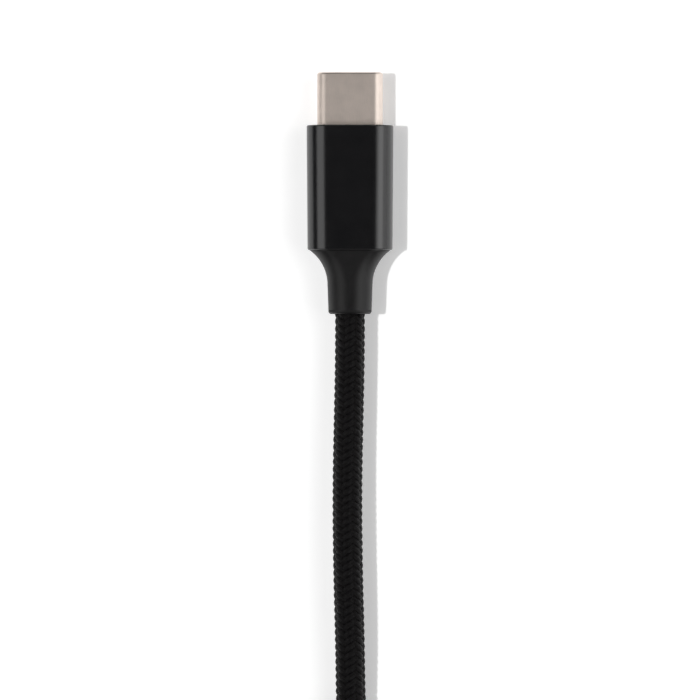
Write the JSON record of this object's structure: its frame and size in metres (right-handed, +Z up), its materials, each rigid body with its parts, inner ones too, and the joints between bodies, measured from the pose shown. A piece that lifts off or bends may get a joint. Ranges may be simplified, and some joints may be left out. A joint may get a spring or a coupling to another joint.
{
  "type": "usb-c cable",
  "caption": "Braided USB-C to USB-C cable: metal-sleeved plugs with moulded strain reliefs, spring contacts and side latches, spare length folded in a tied hank.",
  "frame": {"origin": "on the surface the near plug lies on, under the middle of that plug from mouth to boot", "axes": "+Y out of the near plug's mouth, +X across the plug, +Z up from its flat underside"},
  "size_m": [0.0342, 0.1896, 0.0134],
  "materials": {
    "shell_metal": "satin nickel plate",
    "can_steel": "bright stamped steel",
    "spring_steel": "bright spring steel",
    "contact_gold": "gold plated",
    "insulator_plastic": "matt moulded",
    "board_laminate": "satin solder mask",
    "chip_plastic": "matt moulded",
    "capacitor_ceramic": "fired ceramic",
    "ferrule_metal": "satin",
    "shield_wire": "tinned copper braid",
    "mould_plastic": "matt moulded",
    "housing_anodised": "black anodised, fine blasted",
    "boot_rubber": "satin moulded",
    "jacket_plastic": "matt extruded",
    "braid_cover": "braided filament yarn",
    "wire_red": "extruded",
    "wire_black": "extruded",
    "wire_green": "extruded",
    "wire_white": "extruded",
    "wire_blue": "extruded",
    "tie_fabric": "hook and loop strap"
  },
  "bodies": {
    "cable": {"boot": "boot_rubber", "cable_hank": "braid_cover", "cable_id_chip": "chip_plastic", "cable_lead": "braid_cover", "cable_tail": "braid_cover", "cable_tie": "tie_fabric", "capacitors": "capacitor_ceramic", "channel_wire": "wire_blue", "circuit_board": "board_laminate", "crimp_ferrule": "ferrule_metal", "data_minus_wire": "wire_white", "data_plus_wire": "wire_green", "far_boot": "boot_rubber", "far_cable_id_chip": "chip_plastic", "far_capacitors": "capacitor_ceramic", "far_channel_wire": "wire_blue", "far_circuit_board": "board_laminate", "far_crimp_ferrule": "ferrule_metal", "far_data_minus_wire": "wire_white", "far_data_plus_wire": "wire_green", "far_ground_wire": "wire_black", "far_housing": "housing_anodised", "far_inner_mould": "mould_plastic", "far_insulator": "insulator_plastic", "far_jacket_end": "jacket_plastic", "far_latch_base": "spring_steel", "far_lower_contact_tails": "contact_gold", "far_plug_shell": "shell_metal", "far_power_wire": "wire_red", "far_rear_shield_bottom": "can_steel", "far_rear_shield_top": "can_steel", "far_shield_fold": "shield_wire", "far_shield_spring_bottom": "spring_steel", "far_shield_spring_top": "spring_steel", "far_sleeve_end": "braid_cover", "far_upper_contact_tails": "contact_gold", "ground_wire": "wire_black", "housing": "housing_anodised", "inner_mould": "mould_plastic", "insulator": "insulator_plastic", "jacket_end": "jacket_plastic", "latch_base": "spring_steel", "lower_contact_tails": "contact_gold", "plug_shell": "shell_metal", "power_wire": "wire_red", "rear_shield_bottom": "can_steel", "rear_shield_top": "can_steel", "shield_fold": "shield_wire", "shield_spring_bottom": "spring_steel", "shield_spring_top": "spring_steel", "sleeve_end": "braid_cover", "upper_contact_tails": "contact_gold"},
    "far_latch_left": {"far_latch_left": "spring_steel"},
    "far_latch_right": {"far_latch_right": "spring_steel"},
    "far_lower_contacts": {"far_lower_contact_beams": "contact_gold"},
    "far_upper_contacts": {"far_upper_contact_beams": "contact_gold"},
    "latch_left": {"latch_left": "spring_steel"},
    "latch_right": {"latch_right": "spring_steel"},
    "lower_contacts": {"lower_contact_beams": "contact_gold"},
    "upper_contacts": {"upper_contact_beams": "contact_gold"}
  },
  "joints": [
    {"name": "latch_left_flex", "type": "hinge", "parent": "cable", "child": "latch_left", "pos_m": [-0.0035, 0.0076, 0.00265], "axis": [0, 0, 1], "range_deg": [0, 2], "stiffness_Nm_per_rad": 0.25},
    {"name": "latch_right_flex", "type": "hinge", "parent": "cable", "child": "latch_right", "pos_m": [0.0035, 0.0076, 0.00265], "axis": [0, 0, -1], "range_deg": [0, 2], "stiffness_Nm_per_rad": 0.25},
    {"name": "upper_contacts_flex", "type": "hinge", "parent": "cable", "child": "upper_contacts", "pos_m": [0, 0.00887, 0.00316], "axis": [1, 0, 0], "range_deg": [0, 1.4], "stiffness_Nm_per_rad": 0.25},
    {"name": "lower_contacts_flex", "type": "hinge", "parent": "cable", "child": "lower_contacts", "pos_m": [0, 0.00887, 0.00214], "axis": [-1, 0, 0], "range_deg": [0, 1.4], "stiffness_Nm_per_rad": 0.25},
    {"name": "far_latch_left_flex", "type": "hinge", "parent": "cable", "child": "far_latch_left", "pos_m": [0.00465, -0.16682, 0.00265], "axis": [0, 0, 1], "range_deg": [0, 2], "stiffness_Nm_per_rad": 0.25},
    {"name": "far_latch_right_flex", "type": "hinge", "parent": "cable", "child": "far_latch_right", "pos_m": [-0.00235, -0.16682, 0.00265], "axis": [0, 0, -1], "range_deg": [0, 2], "stiffness_Nm_per_rad": 0.25},
    {"name": "far_upper_contacts_flex", "type": "hinge", "parent": "cable", "child": "far_upper_contacts", "pos_m": [0.00115, -0.1681, 0.00316], "axis": [-1, 0, 0], "range_deg": [0, 1.4], "stiffness_Nm_per_rad": 0.25},
    {"name": "far_lower_contacts_flex", "type": "hinge", "parent": "cable", "child": "far_lower_contacts", "pos_m": [0.00115, -0.1681, 0.00214], "axis": [1, 0, 0], "range_deg": [0, 1.4], "stiffness_Nm_per_rad": 0.25}
  ]
}
